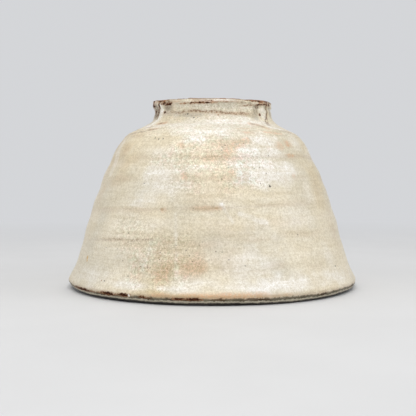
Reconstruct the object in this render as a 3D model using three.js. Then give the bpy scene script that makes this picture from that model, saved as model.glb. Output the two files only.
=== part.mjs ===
import * as THREE from 'three';

// A wheel-thrown tea bowl in millimetres, turned over on its rim with its foot up.
// The origin is on the table, on the bowl's axis, and +Z points from the rim to the foot.

// Facets round the axis, and steps along each outline
const facets = 40;
const outsideSteps = 24;
const insideSteps = 20;
const rollSteps = 4;
const footSteps = 5;

// Each coat of glaze, and the clearance that keeps a coat off the clay under it
const glaze = 0.5;
const clearance = 0.15;

// Whole bowl, from the table up to the face of its foot
const bowlHeight = 81.5;

// Lip: it flares to its widest, rolls under to a flat band on the table and rolls up inside
const rimRadius = 63.9;
const outerRollWidth = 3.0;
const outerRollHeight = 4.0;
const standingBand = 1.2;
const innerRollWidth = 1.8;
const innerRollHeight = 3.0;

// Wall, from the lip up: each station lies this far in and up from the one before it, and the
// wall there is this thick. The long stretches rise alike, by what the rest leaves of the height.
const neckInset = 1.6;
const neckRise = 3.4;
const neckThickness = 5.0;
const skirtInset = 3.85;
const skirtRise = 10.5;
const skirtThickness = 5.2;
const lowerInset = 3.6;
const lowerThickness = 5.6;
const middleInset = 4.35;
const middleThickness = 6.2;
const upperInset = 5.8;
const upperThickness = 7.0;
const turnInset = 5.5;
const turnRise = 9.0;
const turnThickness = 7.6;

// Shoulder, from the wall up to the foot: each station lies this far out from the foot
const shoulderOut = 8.3;
const shoulderRise = 3.3;
const saddleOut = 3.3;
const saddleRise = 2.5;
const filletOut = 0.7;
const filletRise = 2.3;
const joinRise = 1.4;

// Floor, inside: it dips at its edge and holds a shallow pool where the last tea gathers
const floorThickness = 9.3;
const floorEdgeRadius = 25;
const floorEdgeFall = 1.3;
const poolRadius = 17;
const poolBankWidth = 2.2;
const poolBankDepth = 1.3;
const poolCentreDepth = 1.8;

// Foot ring, luted to the flat base, with a waist, a flared rim and a bevel under its face
const footRadius = 26.2;
const footHeight = 6.0;
const footWaistDepth = 0.2;
const footWaistRise = 2.2;
const footFlare = 0.3;
const bevelWidth = 0.9;
const bevelRise = 0.8;
const bareEdge = 0.3;
const footLean = 0.65;

// Well inside the foot ring, with a small swelling in the middle of its floor
const footWall = 6.8;
const wellFlare = 0.9;
const wellEase = 0.4;
const swellingRadius = 6;
const swellingRise = 0.8;

// Throwing rings: one shallow spiral left in the wall by the fingers
const ringDepth = 0.25;
const ringPitch = 12;
const ringsStart = 7;
const ringsFade = 8;

function at(radius, height) {
  return new THREE.Vector2(radius, height);
}

// Draws a smooth outline through stations and cuts it into even steps
function smooth(stations, steps) {
  const knots = stations.map((station) => new THREE.Vector3(station.x, station.y, 0));
  const curve = new THREE.CatmullRomCurve3(knots, false, 'centripetal');
  return curve.getSpacedPoints(steps).map((point) => at(point.x, point.y));
}

// Draws a quarter of an ellipse round a centre, from one angle up to another
function roll(centre, width, height, fromAngle, toAngle) {
  const arc = new THREE.EllipseCurve(centre.x, centre.y, width, height, fromAngle, toAngle);
  return arc.getPoints(rollSteps);
}

// The unit direction to the left of an outline at one of its points
function leftOf(outline, index) {
  const before = outline[Math.max(index - 1, 0)];
  const after = outline[Math.min(index + 1, outline.length - 1)];
  const along = after.clone().sub(before).normalize();
  return at(-along.y, along.x);
}

// Outside of the bowl, from the widest part of the lip up to the foot
const joinHeight = bowlHeight - footHeight;
const shoulderTotal = shoulderRise + saddleRise + filletRise + joinRise;
const shortTotal = outerRollHeight + neckRise + skirtRise + turnRise + shoulderTotal;
const longStretches = [
  { inset: lowerInset, thickness: lowerThickness },
  { inset: middleInset, thickness: middleThickness },
  { inset: upperInset, thickness: upperThickness },
];
const longRise = (joinHeight - shortTotal) / longStretches.length;
const wallStations = [
  { inset: neckInset, rise: neckRise, thickness: neckThickness },
  { inset: skirtInset, rise: skirtRise, thickness: skirtThickness },
  ...longStretches.map((stretch) => ({ ...stretch, rise: longRise })),
  { inset: turnInset, rise: turnRise, thickness: turnThickness },
];
const shoulderStations = [
  { out: shoulderOut, rise: shoulderRise },
  { out: saddleOut, rise: saddleRise },
  { out: filletOut, rise: filletRise },
];
const outsideStations = [at(rimRadius, outerRollHeight)];
for (const { inset, rise } of wallStations) {
  const last = outsideStations.at(-1);
  outsideStations.push(at(last.x - inset, last.y + rise));
}
for (const { out, rise } of shoulderStations) {
  outsideStations.push(at(footRadius + out, outsideStations.at(-1).y + rise));
}
outsideStations.push(at(footRadius, joinHeight));

// Inside of the bowl, from the middle of its floor out and down to the lip
const bandOuterRadius = rimRadius - outerRollWidth;
const bandInnerRadius = bandOuterRadius - standingBand;
const floorHeight = joinHeight - floorThickness;
const insideStations = [
  at(0, floorHeight + poolCentreDepth),
  at(poolRadius - poolBankWidth, floorHeight + poolBankDepth),
  at(poolRadius, floorHeight),
  at(floorEdgeRadius, floorHeight - floorEdgeFall),
];
for (let index = wallStations.length; index > 0; index -= 1) {
  const inwards = leftOf(outsideStations, index);
  const { thickness } = wallStations[index - 1];
  insideStations.push(outsideStations[index].clone().addScaledVector(inwards, thickness));
}
insideStations.push(at(bandInnerRadius - innerRollWidth, innerRollHeight));

// Skin of the glazed bowl, from the middle of its floor, down the inside, round the lip and
// up the outside to the foot, so that the clay is always on its left
const inside = smooth(insideStations, insideSteps);
const innerRoll = roll(at(bandInnerRadius, innerRollHeight),
  innerRollWidth, innerRollHeight, Math.PI, Math.PI * 1.5);
const outerRoll = roll(at(bandOuterRadius, outerRollHeight),
  outerRollWidth, outerRollHeight, -Math.PI / 2, 0);
const outside = smooth(outsideStations, outsideSteps);
const skin = [...inside, ...innerRoll.slice(1), ...outerRoll.slice(0, -1), ...outside];
const innerCut = inside.length - 1;
const outerCut = skin.length - outside.length;
const joinCut = skin.length - 1;

// Sinks a skin into the clay. Where coats meet, and at the join, the step is level, and on
// the axis it is upright, so that cut ends stay flat.
function sink(outline, distance, levelCuts) {
  return outline.map((point, index) => {
    const into = leftOf(outline, index);
    if (levelCuts.includes(index)) into.set(Math.sign(into.x), 0);
    if (point.x === 0) into.set(0, Math.sign(into.y));
    return point.clone().addScaledVector(into, distance);
  });
}

// The rings fade out towards the lip and the shoulder
const ringsEnd = outsideStations[wallStations.length].y;
function ringSwell(angle, height) {
  const fadeIn = THREE.MathUtils.smoothstep(height, ringsStart, ringsStart + ringsFade);
  const fadeOut = THREE.MathUtils.smoothstep(height, ringsEnd - ringsFade, ringsEnd);
  const wave = Math.sin(2 * Math.PI * height / ringPitch - angle);
  return ringDepth * fadeIn * (1 - fadeOut) * wave;
}

// Turns a true round shape into the thrown one: rings in its wall, and a foot whose face
// leans towards +X
function makeHandmade(geometry) {
  const position = geometry.getAttribute('position');
  const lean = Math.tan(THREE.MathUtils.degToRad(footLean));
  const vertex = new THREE.Vector3();
  for (let index = 0; index < position.count; index += 1) {
    vertex.fromBufferAttribute(position, index);
    const radius = Math.hypot(vertex.x, vertex.y);
    const swell = radius > 0 ? ringSwell(Math.atan2(vertex.y, vertex.x), vertex.z) : 0;
    const stretch = radius > 0 ? (radius + swell) / radius : 1;
    const share = Math.max(0, vertex.z - joinHeight) / footHeight;
    position.setXYZ(index, vertex.x * stretch, vertex.y * stretch,
      vertex.z - vertex.x * lean * share);
  }
  geometry.computeVertexNormals();
}

// Turns an outline round the bowl's axis into a named piece
function turned(name, outline, colour, roughness) {
  const geometry = new THREE.LatheGeometry(outline, facets);
  geometry.rotateX(Math.PI / 2);
  makeHandmade(geometry);
  const material = new THREE.MeshStandardMaterial({ color: colour, roughness, metalness: 0 });
  const mesh = new THREE.Mesh(geometry, material);
  mesh.name = name;
  return mesh;
}

// Closes a coat between two cuts of a skin and the same stretch sunk by the coat's thickness
function coatOutline(outline, sunken, from, to) {
  const face = outline.slice(from, to + 1);
  const back = sunken.slice(from, to + 1).reverse();
  const ring = [...face, ...back];
  return face[0].x === 0 ? ring : [...ring, face[0].clone()];
}

const bowl = new THREE.Group();
bowl.name = 'tea_bowl';

// Clay body: the wall and floor, with a flat base for the foot ring round a low swelling
const levelCuts = [innerCut, outerCut, joinCut];
const clayDepth = glaze + clearance;
const claySkin = sink(skin, clayDepth, levelCuts);
const bodyOutline = [
  ...claySkin,
  at(swellingRadius, joinHeight),
  at(0, joinHeight + swellingRise),
];
bowl.add(turned('bowl_body', bodyOutline, '#8a5a3c', 0.85));

// Coats on the inside, the lip and the outside
const underGlaze = sink(skin, glaze, levelCuts);
const innerGlazeOutline = coatOutline(skin, underGlaze, 0, innerCut);
bowl.add(turned('inner_glaze', innerGlazeOutline, '#e2dac6', 0.35));
const lipGlazeOutline = coatOutline(skin, underGlaze, innerCut, outerCut);
bowl.add(turned('lip_glaze', lipGlazeOutline, '#b08a62', 0.4));
const outerGlazeOutline = coatOutline(skin, underGlaze, outerCut, joinCut);
bowl.add(turned('outer_glaze', outerGlazeOutline, '#e1d9c6', 0.35));

// Foot ring: bare clay on its face and in the well, and sunk under its own coat outside
const coatTop = bowlHeight - bareEdge;
const footSkin = smooth([
  at(footRadius, joinHeight),
  at(footRadius - footWaistDepth, joinHeight + footWaistRise),
  at(footRadius + footFlare, coatTop - bevelRise),
], footSteps);
footSkin.push(at(footRadius + footFlare - bevelWidth, coatTop));
const footCuts = [0, footSkin.length - 1];
const footClay = sink(footSkin, clayDepth, footCuts);
const faceOuterRadius = footClay.at(-1).x;
const wellRadius = footRadius - footWall;
const faceInnerRadius = wellRadius + wellFlare + wellEase;
const footRingOutline = [
  ...footClay,
  at(faceOuterRadius, bowlHeight),
  at(faceInnerRadius, bowlHeight),
  at(faceInnerRadius - wellEase, bowlHeight - wellEase),
  at(wellRadius, joinHeight),
  footClay[0].clone(),
];
bowl.add(turned('foot_ring', footRingOutline, '#7d4a30', 0.85));

const underFootGlaze = sink(footSkin, glaze, footCuts);
const footGlazeOutline = coatOutline(footSkin, underFootGlaze, 0, footSkin.length - 1);
bowl.add(turned('foot_glaze', footGlazeOutline, '#ddd3c0', 0.4));

// Pool of glaze in the well, a clearance inside its wall and over the base
const poolGlazeRadius = wellRadius - clearance;
const wellGlazeOutline = [
  at(0, joinHeight + clearance + swellingRise),
  at(swellingRadius, joinHeight + clearance),
  at(poolGlazeRadius, joinHeight + clearance),
  at(poolGlazeRadius, joinHeight + clayDepth),
  at(swellingRadius, joinHeight + clayDepth),
  at(0, joinHeight + clayDepth + swellingRise),
];
bowl.add(turned('foot_well_glaze', wellGlazeOutline, '#d8cdb8', 0.35));

export default bowl;
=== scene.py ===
import math
from functools import cached_property

import bpy
import numpy as np
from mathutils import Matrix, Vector


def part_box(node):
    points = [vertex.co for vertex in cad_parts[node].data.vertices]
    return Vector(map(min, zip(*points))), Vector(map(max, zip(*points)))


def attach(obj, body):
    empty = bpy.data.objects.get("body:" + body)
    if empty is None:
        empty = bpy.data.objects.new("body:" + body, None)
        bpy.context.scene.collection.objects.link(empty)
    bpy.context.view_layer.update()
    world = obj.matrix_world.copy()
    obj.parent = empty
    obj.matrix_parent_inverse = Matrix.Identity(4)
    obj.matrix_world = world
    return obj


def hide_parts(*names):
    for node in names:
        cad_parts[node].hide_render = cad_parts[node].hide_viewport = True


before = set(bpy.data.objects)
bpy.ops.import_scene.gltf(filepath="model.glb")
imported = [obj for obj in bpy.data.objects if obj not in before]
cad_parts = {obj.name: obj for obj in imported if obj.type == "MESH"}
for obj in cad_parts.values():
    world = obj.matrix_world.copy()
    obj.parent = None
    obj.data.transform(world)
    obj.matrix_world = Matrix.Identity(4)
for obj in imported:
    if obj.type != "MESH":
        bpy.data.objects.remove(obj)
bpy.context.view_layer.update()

# A wheel-thrown tea bowl with a cream glaze, turned over on its rim. The bowl's sizes are in
# millimetres and become metres when a mesh is made, and the floor, lamps and camera are in
# metres. An azimuth is in degrees from the front, to the right. Every random number comes
# from a hash or a seed.
MM = 0.001

# Sizes that the frame gives
rim_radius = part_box("outer_glaze")[1].x / MM
lip_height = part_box("outer_glaze")[0].z / MM
join_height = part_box("foot_glaze")[0].z / MM
well_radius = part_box("foot_well_glaze")[1].x / MM

# The coats' thickness and their clearance to the clay
coat = 0.5
clearance = 0.15

# Outline of the wall, from the lip up: how far each station lies in and up from the last,
# and how thick the wall is there
long_rise = 13.033
wall_steps = [
    (1.6, 3.4, 5.0),
    (3.85, 10.5, 5.2),
    (3.6, long_rise, 5.6),
    (4.35, long_rise, 6.2),
    (5.8, long_rise, 7.0),
    (5.5, 9.0, 7.6),
]

# Shoulder: how far each station lies out from the foot, and up from the last
foot_radius = 26.2
shoulder_steps = [(8.3, 3.3), (3.3, 2.5), (0.7, 2.3)]

# Floor inside: from its middle to the edge of the pool and on to the wall
floor_height = join_height - 9.3
floor_stations = [
    (0, floor_height + 1.8),
    (14.8, floor_height + 1.3),
    (17.0, floor_height),
    (25.0, floor_height - 1.3),
]

# Lip: two rolls with a flat band between them
outer_roll = (3.0, lip_height)
inner_roll = (1.8, 3.0)
standing_band = 1.2

# Foot ring
foot_height = 6.0
foot_lean = 0.65
foot_stations = [(0, 0), (-0.2, 2.2), (0.3, 4.2)]
bevel = (-0.9, 1.5)
face_inner_radius = well_radius + clearance + 1.3
well_swelling = (6.0, 0.8)

# Throwing rings, with the heights of their crests in front and how much these tilt
ring_depth = 0.14
ring_crests = [2.5, 14.9, 27.3, 39.5, 50.3, 59, 67]
ring_tilt = 2.0
tilt_fade = (42, 52)
rings_start = 7.0
rings_end = 66.0
rings_fade = 8.0

# Mesh steps round the axis and along each stretch of the outline
columns = 600
inside_rows = 110
roll_rows = 22
band_rows = 4
outside_rows = 134
foot_rows = 22
bevel_rows = 10
pool_rows = 60

# Farther than any mark reaches, from a line or from the edge of what is bare
far_off = 9.0


def smoothstep(low, high, value):
    """Rises smoothly from 0 at low to 1 at high."""
    share = np.clip((value - low) / (high - low), 0, 1)
    return share * share * (3 - 2 * share)


def run_along(points):
    """How far along a polyline each of its points lies."""
    return np.concatenate([[0], np.cumsum(np.linalg.norm(np.diff(points, axis=0), axis=1))])


def joined(stretches):
    """Joins polylines, each of which starts where the last one ends."""
    return np.vstack([stretches[0]] + [stretch[1:] for stretch in stretches[1:]])


def respace(points, count):
    """Cuts a polyline into even steps."""
    run = run_along(points)
    even = np.linspace(0, run[-1], count + 1)
    return np.column_stack([np.interp(even, run, points[:, axis]) for axis in (0, 1)])


def smooth(stations, count):
    """Draws a centripetal curve through stations and cuts it into even steps."""
    knots = np.array(stations, float)
    knots = np.vstack([2 * knots[0] - knots[1], knots, 2 * knots[-1] - knots[-2]])
    gaps = np.sqrt(np.linalg.norm(np.diff(knots, axis=0), axis=1))
    t = np.linspace(0, 1, 40, endpoint=False)[:, None]
    pieces = []
    for index in range(1, len(knots) - 2):
        a, b, c = gaps[index - 1:index + 2]
        before, start, end, after = knots[index - 1:index + 3]
        middle = (end - start) / b
        leave = b * ((start - before) / a - (end - before) / (a + b) + middle)
        arrive = b * (middle - (after - start) / (b + c) + (after - end) / c)
        bend = 3 * (end - start) - 2 * leave - arrive
        twist = 2 * (start - end) + leave + arrive
        pieces.append(start + leave * t + bend * t**2 + twist * t**3)
    pieces.append(knots[-2:-1])
    return respace(np.vstack(pieces), count)


def arc(centre, size, start, end, count):
    """Draws a part of an ellipse, in even steps."""
    angle = np.linspace(start, end, count + 1)
    return np.column_stack([np.cos(angle), np.sin(angle)]) * size + centre


def lattice(x, y, z, seed):
    """Hashes whole numbers to values between -1 and 1."""
    start = np.uint32(seed * 3266489917 % 2**32)
    mixed = (x * np.uint32(374761393) + y * np.uint32(668265263)
             + z * np.uint32(2246822519) + start)
    mixed = (mixed ^ (mixed >> np.uint32(13))) * np.uint32(1274126177)
    mixed = (mixed ^ (mixed >> np.uint32(15))) * np.uint32(2654435761)
    return (mixed ^ (mixed >> np.uint32(16))) / 2147483647.5 - 1


def noise(points, size, seed, stretch=(1, 1, 1)):
    """Smooth noise between about -1 and 1, whose features measure size millimetres."""
    place = points / (np.array(stretch) * size) + 1000
    corner = np.floor(place)
    share = place - corner
    share = share**3 * (share * (share * 6 - 15) + 10)
    corner = corner.astype(np.uint32)
    total = 0
    for step in np.ndindex(2, 2, 2):
        weight = np.prod(np.where(step, share, 1 - share), axis=-1)
        cell = np.moveaxis(corner + np.array(step, np.uint32), -1, 0)
        total = total + weight * lattice(*cell, seed)
    return total * 1.5


# Skin of the whole bowl, from the middle of its floor, down the inside, round the lip, up the
# outside and up the foot, with the clay always on its left
outside_stations = [(rim_radius, lip_height)]
for inset, rise, _ in wall_steps:
    last = outside_stations[-1]
    outside_stations.append((last[0] - inset, last[1] + rise))
for out, rise in shoulder_steps:
    outside_stations.append((foot_radius + out, outside_stations[-1][1] + rise))
outside_stations.append((foot_radius, join_height))
band_outer = rim_radius - outer_roll[0]
band_inner = band_outer - standing_band
inside_stations = list(floor_stations)
for index in range(len(wall_steps), 0, -1):
    before, here, after = (np.array(outside_stations[index + step]) for step in (-1, 0, 1))
    along = (after - before) / np.linalg.norm(after - before)
    across = np.array([-along[1], along[0]])
    inside_stations.append(tuple(here + across * wall_steps[index - 1][2]))
inside_stations.append((band_inner - inner_roll[0], inner_roll[1]))

foot_side = np.array(foot_stations) + (foot_radius, join_height)
bevel_end = foot_side[-1] + bevel
stretches = [
    smooth(inside_stations, inside_rows),
    arc((band_inner, inner_roll[1]), inner_roll, math.pi, 1.5 * math.pi, roll_rows),
    np.linspace((band_inner, 0), (band_outer, 0), band_rows + 1),
    arc((band_outer, outer_roll[1]), outer_roll, -0.5 * math.pi, 0, roll_rows),
    smooth(outside_stations, outside_rows),
    smooth(foot_side, foot_rows),
    np.linspace(foot_side[-1], bevel_end, bevel_rows + 1),
]
outline = joined(stretches)
cuts = np.cumsum([len(stretch) - 1 for stretch in stretches])
inner_cut, band_cut, roll_cut, outer_cut, join_cut, _, foot_cut = cuts


def rights(points):
    """The unit direction to the right of an outline, away from the clay, at each point."""
    along = np.gradient(points, axis=0)
    along /= np.linalg.norm(along, axis=1)[:, None]
    return np.column_stack([along[:, 1], -along[:, 0]])


azimuth = np.linspace(-180, 180, columns, endpoint=False)
turn = np.radians(azimuth - 90)
facing = np.stack([np.cos(turn), np.sin(turn)], axis=-1)


def ring_wave(height, around, ahead=0.0):
    """The throwing rings, which climb to the right except near the foot: 1 on their crests, or
    a share of a ring under them."""
    fade = smoothstep(rings_start, rings_start + rings_fade, height)
    fade = fade * (1 - smoothstep(rings_end - rings_fade, rings_end, height))
    level = height - ring_tilt * np.cos(around) * (1 - smoothstep(*tilt_fade, height))
    turns = np.interp(level, ring_crests, range(len(ring_crests)))
    return fade * np.cos(2 * np.pi * (turns + ahead))


# How far the foot's uneven edge stands above its outline, round the bowl
lift_places = [-180, -100, -80, -68, -58, -40, -30, -22, -12, 38, 50, 62, 80, 105, 180]
lift_heights = [0, 0, 0.1, 0.15, -0.08, -0.1, -0.2, 0.1, 0, -0.02, 0.27, 0.25, -0.1, 0, 0]
edge_lift = np.interp(azimuth, lift_places, lift_heights)


def swept(points):
    """Turns an outline round the axis, with its rings and the lean and lift of its foot."""
    radius = points[:, 0, None]
    height = points[:, 1, None] + 0 * turn
    wide = radius + np.where(radius > 0, ring_depth * ring_wave(height, turn), 0)
    share = np.maximum(0, height - join_height) / foot_height
    across = wide * facing[:, 0]
    height = height - across * math.tan(math.radians(foot_lean)) * share + edge_lift * share**3
    return np.stack([across, wide * facing[:, 1], height], axis=-1)


base = swept(outline)
run = run_along(outline)
rise = run - run[outer_cut]
out_rise, out_height = rise[roll_cut:], outline[roll_cut:, 1]
heights = outline[:, 1, None] + 0 * turn
radii = outline[:, 0, None] + 0 * turn
rises = rise[:, None] + 0 * turn
azimuths = azimuth + 0 * radii
outside = smoothstep(-5, 0, rises)


def rise_at(height):
    """How far up the outside a height lies, along the outline."""
    return np.interp(height, out_height, out_rise)


def apart(where, height, tilt=0.0):
    """How far every point lies from a place on the outside, along and across a tilt."""
    angle = (azimuths - where + 180) % 360 - 180
    along = np.radians(angle) * radii
    up = rises - rise_at(height)
    cosine, sine = math.cos(math.radians(tilt)), math.sin(math.radians(tilt))
    return along * cosine + up * sine, up * cosine - along * sine


ragged = noise(base, 5.0, 11) + 0.5 * noise(base, 2.2, 12)


def patches(marks, full=0.38, gone=1.3):
    """Joins ragged ovals, each given by its place, size and strength, and by a tilt if it has
    one. An oval is whole to one share of its size and gone at another."""
    total = np.zeros_like(radii)
    for where, height, wide, high, strength, *tilt in marks:
        along, up = apart(where, height, *tilt)
        reach = np.hypot(along / wide, up / high) + 0.22 * ragged
        total = np.maximum(total, strength * (1 - smoothstep(full, gone, reach)))
    return total * outside


def stroke(spots, half_width):
    """Covers a band along a line of spots: 1 in its middle and 0 outside."""
    nearest = np.full_like(radii, far_off)
    for (where, height), (next_where, next_height) in zip(spots, spots[1:]):
        along, up = apart(where, height)
        far = np.radians(next_where - where) * radii
        high = rise_at(next_height) - rise_at(height)
        share = np.clip((along * far + up * high) / (far**2 + high**2 + 1e-9), 0, 1)
        nearest = np.minimum(nearest, np.hypot(along - share * far, up - share * high))
    return (1 - smoothstep(0.5, 1.4, nearest / half_width + 0.2 * ragged)) * outside


def strokes(marks):
    """Joins strokes, each given by its spots, half width and strength."""
    total = np.zeros_like(radii)
    for spots, half_width, strength in marks:
        total = np.maximum(total, strength * stroke(spots, half_width))
    return total


def blots(marks):
    """How deep, in about millimetres, every point lies inside the nearest of some blots."""
    depth = np.full_like(radii, -far_off)
    for where, height, wide, high, *tilt in marks:
        along, up = apart(where, height, *tilt)
        depth = np.maximum(depth, (1 - np.hypot(along / wide, up / high)) * min(wide, high))
    return depth + 0.16 * noise(base, 1.3, 36)


# Marks of the front: azimuth, height, half width, half height and strength
# Milky glaze and painted highlights: the marks along the shoulder, just above the lip and on the
# foot's edge are painted highlights, and the clouds on the wall are milky glaze, partly painted
# highlight
milky_and_highlight_marks = [
    (25, 49.8, 13, 6, 0.95), (25, 52.8, 11, 3.2, 1), (-24, 50, 8, 5, 0.75), (-20, 44.5, 8, 3, 0.6),
    (-30, 39.5, 8, 4, 0.4), (-6, 51.8, 7, 1.6, 0.6), (-9.3, 63.7, 6, 3, 1), (-6, 8.8, 9, 2.2, 0.55),
    (14, 13.5, 9, 6.5, 0.5), (6, 71.6, 18, 4.6, 1), (34, 71, 14, 3.4, 0.9),
    (-28, 70.4, 16, 3.4, 0.8), (31, 57.6, 8, 4, 0.7), (20, 59, 8, 4, 0.85), (27, 62.8, 9, 2.8, 1),
    (-28, 58.5, 7, 2.8, 0.4), (24, 7.4, 20, 3.4, 1), (-32, 7, 12, 2.2, 0.7), (-50, 7.8, 18, 5, 0.4),
    (55, 7.6, 18, 4, 0.65), (-12, 6.4, 10, 1.6, 0.8), (15, 54, 7, 3.4, 0.9), (38, 51, 7, 4.4, 1),
    (38, 33, 9, 5, 0.35), (54, 15, 5, 6, 0.35), (-22, 30, 8, 3, 0.3), (4, 37.9, 1.1, 0.9, 1),
    (57, 63, 6, 5, 0.5), (50, 44, 5, 9, 0.3), (-4, 66.4, 20, 2.8, 0.6), (9, 80.7, 9, 0.8, 0.55),
    (-76, 80.4, 6, 1, 0.7),
]
# Painted highlights along a ring crest right of the middle, along the turning lines on the shoulder's
# right and down the left side, and pale streaks in the glaze elsewhere
pale_and_highlight_strokes = [
    ([(4, 37.8), (6.1, 34.4), (8.6, 30.9)], 0.6, 0.45),
    ([(11.5, 34.1), (16.5, 32.8), (21.9, 30.7)], 1.0, 0.45),
    ([(-15.2, 34.3), (-13.9, 22.2), (-12.8, 9.4)], 0.7, 0.28),
    ([(-26.4, 12), (-24.6, 23.3)], 0.8, 0.25),
    ([(-69, 63), (-65, 57), (-63, 51)], 2.6, 0.4),
    ([(40, 70.4), (48.5, 69.2), (56, 68.6)], 0.8, 0.75), ([(56, 68.6), (66, 67.9)], 0.6, 0.4),
]
# Tan glaze; the bands near 36 and 48 mm high in front lie on the rings' lower flanks and are partly
# painted shade
tan_and_shade_marks = [
    (-18.4, 12.4, 5.2, 4.4, 1), (-19.5, 19.5, 6, 4.5, 0.4), (-7, 14.2, 6, 5, 1),
    (-5, 18.5, 4, 3, 0.6), (-4, 22.8, 10, 1.9, 0.5), (-2.5, 36.4, 8.5, 1.4, 0.75),
    (-32, 35.6, 9, 1.3, 0.6), (-52, 35.1, 10, 1.3, 0.4), (30, 37.3, 20, 0.8, 0.4),
    (-2.5, 47.9, 11, 2, 0.8), (-50, 47.9, 9, 1.9, 0.6), (21.4, 66.3, 4.5, 1.4, 0.6),
    (-54, 65.8, 9, 1.5, 0.6), (-58, 59, 5, 4.5, 0.6), (-40, 56.5, 9, 2.2, 0.35),
    (60, 44, 4, 7, 0.4), (24.7, 14.4, 5, 1.6, 0.4), (15.3, 24.4, 9, 1.1, 0.4), (-67, 41, 6, 9, 0.4),
    (66, 28, 6, 12, 0.3), (-4, 41, 8, 5, 0.35), (2, 60.3, 12, 3.4, 0.6), (-70, 53, 5, 8, 0.5),
    (5, 28, 12, 5, 0.3), (-12, 18, 8, 4.5, 0.5), (-33, 21, 12, 2.2, 0.35), (-56, 54.6, 8, 4, 0.45),
    (-76, 64, 8, 6, 0.6), (28, 30.5, 14, 2, 0.25), (4, 46, 9, 8, 0.4), (5, 17, 9, 8, 0.4),
    (-27, 12, 4, 4, 0.4), (4, 55.4, 12, 1.8, 0.6), (4, 3.6, 16, 1.5, 0.9), (-17, 3.6, 8, 1.2, 0.5),
]
warm_marks = [
    (-68, 60, 16, 14, 0.8), (70, 50, 13, 15, 0.9), (66, 63, 12, 6, 0.6), (-12, 17, 12, 11, 0.6),
    (-24, 9, 9, 6, 0.6), (-27, 43, 10, 7, -0.6), (-30, 54, 13, 9, -0.3), (-42, 22, 20, 15, -0.35),
    (14, 54, 8, 4, -0.8), (12, 36, 14, 8, -0.35), (10, 16, 16, 15, -0.6), (42, 20, 24, 17, -0.35),
    (0, 69, 24, 7, -0.65), (0, 78, 40, 2.6, -0.4), (-19, 5.6, 6, 4, 0.7), (-52, 50, 13, 11, 0.4),
    (56, 42, 10, 11, 0.4), (34, 69, 13, 5, 0.4), (0, 64, 10, 3, -0.5), (0, 3.7, 16, 1.8, 1),
    (-22, 3.7, 12, 1.8, 0.7),
]
rust_marks = [
    (-12.8, 48.8, 1.6, 1.8, 0.55), (8.9, 49.8, 2, 1.8, 0.65), (47.9, 61.9, 2.6, 2.2, 1),
    (46.3, 57.4, 3, 1, 0.9), (-16.6, 61, 1.6, 1, 0.5), (43, 48.9, 1.2, 1, 0.5),
    (21.4, 66.4, 3, 0.9, 0.5), (6, 55.8, 11, 1.1, 0.35), (-3, 36.5, 6, 0.8, 0.3),
    (2.8, 36.4, 1.6, 1, 0.4), (-20.7, 35.6, 1.2, 1.1, 0.45), (-18.4, 12.4, 4, 3.4, 0.3),
    (-7, 14.2, 4.5, 4, 0.3), (9, 3.7, 11, 1.6, 1), (-3, 3.7, 9, 1.5, 1), (0.5, 3.1, 3, 0.9, 1),
    (-14, 3.2, 4, 0.8, 1), (24, 3.4, 8, 0.9, 0.6), (-17, 3.5, 6, 1.1, 0.9),
    (0.5, 79.9, 0.7, 1.1, 1), (-26.5, 79.4, 2.4, 0.6, 1), (-66, 80.8, 5, 0.7, 0.8),
    (-72, 79.9, 2.5, 0.7, 0.8), (-15, 80.6, 4, 0.6, 0.5), (27, 75.1, 6, 0.8, 0.5),
    (6, 74.8, 3, 1, 0.4), (41, 61, 3, 2, 0.6), (8, 80, 4.5, 0.5, 0.7), (-36, 80.3, 3, 0.5, 0.5),
    (21, 80.2, 5, 0.5, 0.4),
]
rust_strokes = [
    ([(20, 63), (12.5, 61), (8.2, 58.5), (7.5, 56.3)], 1.7, 0.6),
    ([(34, 66.8), (48, 66.4)], 0.7, 0.6), ([(16, 68), (24, 68.1)], 0.35, 0.6),
    ([(31, 70.7), (34.3, 70.4), (38.3, 70), (40, 68.9)], 1.6, 0.6),
    ([(-46, 68.6), (-38, 68.5)], 0.25, 0.9), ([(-46, 68.3), (-40, 68.5)], 0.7, 0.8),
    ([(-48, 71.2), (-42, 71.4)], 1.4, 1.0),
]
brown_strokes = [
    ([(32, 70.6), (34.3, 70.4), (38.3, 70)], 0.9, 0.35),
    ([(-60, 79.7), (-60.9, 78), (-60.4, 76.6), (-61, 75)], 0.5, 1.0),
    ([(-47.5, 71.2), (-46, 71.3)], 0.6, 0.7), ([(-47, 68.2), (-43, 68.4)], 0.4, 0.5),
]
grey_marks = [
    (14.5, 48, 3.5, 3.2, 0.6), (-34, 15.5, 10, 4, 0.28), (-45.5, 77.8, 2.2, 1.5, 0.6),
    (18, 79.7, 3, 0.6, 0.5), (-3, 80.4, 3, 0.5, 0.5),
]
brown_marks = [
    (-69, 76.4, 4.2, 3.2, 1), (-50, 80.3, 4.8, 1.1, 1), (-18, 74.6, 7, 1.3, 0.5),
    (-43, 75.4, 6, 1, 0.25), (4, 74.7, 8, 1.1, 0.28), (32, 74.6, 7, 1, 0.3),
    (-32, 80.1, 6, 0.7, 0.3), (-12, 80.7, 5, 0.6, 0.35), (23, 80.1, 5, 0.6, 0.45),
    (41.5, 74.3, 2.4, 2.2, 0.45), (44.5, 76.8, 1.8, 3.2, 0.6), (72, 77, 2.2, 4.2, 0.55),
    (47, 78.4, 1.6, 1, 1), (30, 80, 1.7, 0.6, 0.9), (37, 79.9, 1.3, 0.7, 0.8),
    (9, 79.9, 5, 0.5, 0.6), (-60.8, 77.4, 1.1, 3.4, 1), (-47, 78.4, 2.8, 1.8, 0.65),
    (60, 79.8, 5, 0.5, 0.6), (-41, 2.6, 6, 0.7, 0.8), (-9, 2.7, 5.5, 0.6, 0.9),
    (-62, 2.5, 8, 0.5, 0.6),
]
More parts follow.
